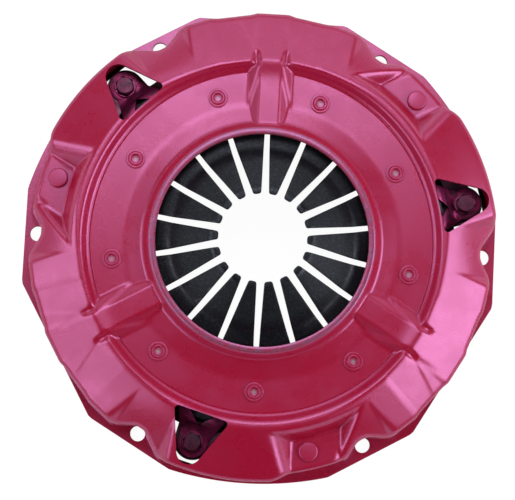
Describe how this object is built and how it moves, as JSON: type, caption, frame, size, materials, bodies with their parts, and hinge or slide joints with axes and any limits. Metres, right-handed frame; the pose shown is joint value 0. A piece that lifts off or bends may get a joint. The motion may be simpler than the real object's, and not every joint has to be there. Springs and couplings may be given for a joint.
{
  "type": "clutch pressure plate",
  "caption": "Diaphragm clutch cover assembly: pressed steel cover with ribs and windows, slotted finger spring, and a pressure plate hung on drive straps.",
  "frame": {"origin": "on the clutch axis, at the flange face that bolts to the flywheel", "axes": "+Z along the clutch axis from the flywheel face towards the release bearing; the first radial rib of the cover lies 87 degrees from +X towards +Y"},
  "size_m": [0.3144, 0.3102, 0.06],
  "materials": {
    "cover_paint": "satin metallic crimson paint on pressed steel",
    "spring_steel": "black phosphated spring steel",
    "ring_steel": "drawn wire",
    "painted_rivet": "formed head painted with the cover",
    "cast_iron": "cast back, machined face",
    "strap_steel": "blackened spring strip",
    "strap_bolt": "black bolt with painted head top",
    "washer_steel": "blackened",
    "clip_steel": "blackened with overspray"
  },
  "bodies": {
    "cover": {"clutch_cover": "cover_paint", "diaphragm_spring": "spring_steel", "upper_pivot_ring": "ring_steel", "lower_pivot_ring": "ring_steel", "pivot_rivets": "painted_rivet", "drive_strap_lower_1": "strap_steel", "drive_strap_lower_2": "strap_steel", "drive_strap_lower_3": "strap_steel", "drive_strap_middle_1": "strap_steel", "drive_strap_middle_2": "strap_steel", "drive_strap_middle_3": "strap_steel", "drive_strap_upper_1": "strap_steel", "drive_strap_upper_2": "strap_steel", "drive_strap_upper_3": "strap_steel", "strap_rivet_1": "painted_rivet", "strap_rivet_2": "painted_rivet", "strap_rivet_3": "painted_rivet"},
    "plate": {"pressure_plate": "cast_iron", "strap_bolt_1": "strap_bolt", "strap_bolt_2": "strap_bolt", "strap_bolt_3": "strap_bolt", "lock_washer_1": "washer_steel", "lock_washer_2": "washer_steel", "lock_washer_3": "washer_steel", "retracting_clip_1": "clip_steel", "retracting_clip_2": "clip_steel", "retracting_clip_3": "clip_steel"}
  },
  "joints": [
    {"name": "plate_lift", "type": "slide", "parent": "cover", "child": "plate", "axis": [0, 0, 1], "range_m": [0, 0.004], "stiffness_N_per_m": 20000, "deforming": ["diaphragm_spring", "drive_strap_lower_1", "drive_strap_lower_2", "drive_strap_lower_3", "drive_strap_middle_1", "drive_strap_middle_2", "drive_strap_middle_3", "drive_strap_upper_1", "drive_strap_upper_2", "drive_strap_upper_3"]}
  ]
}
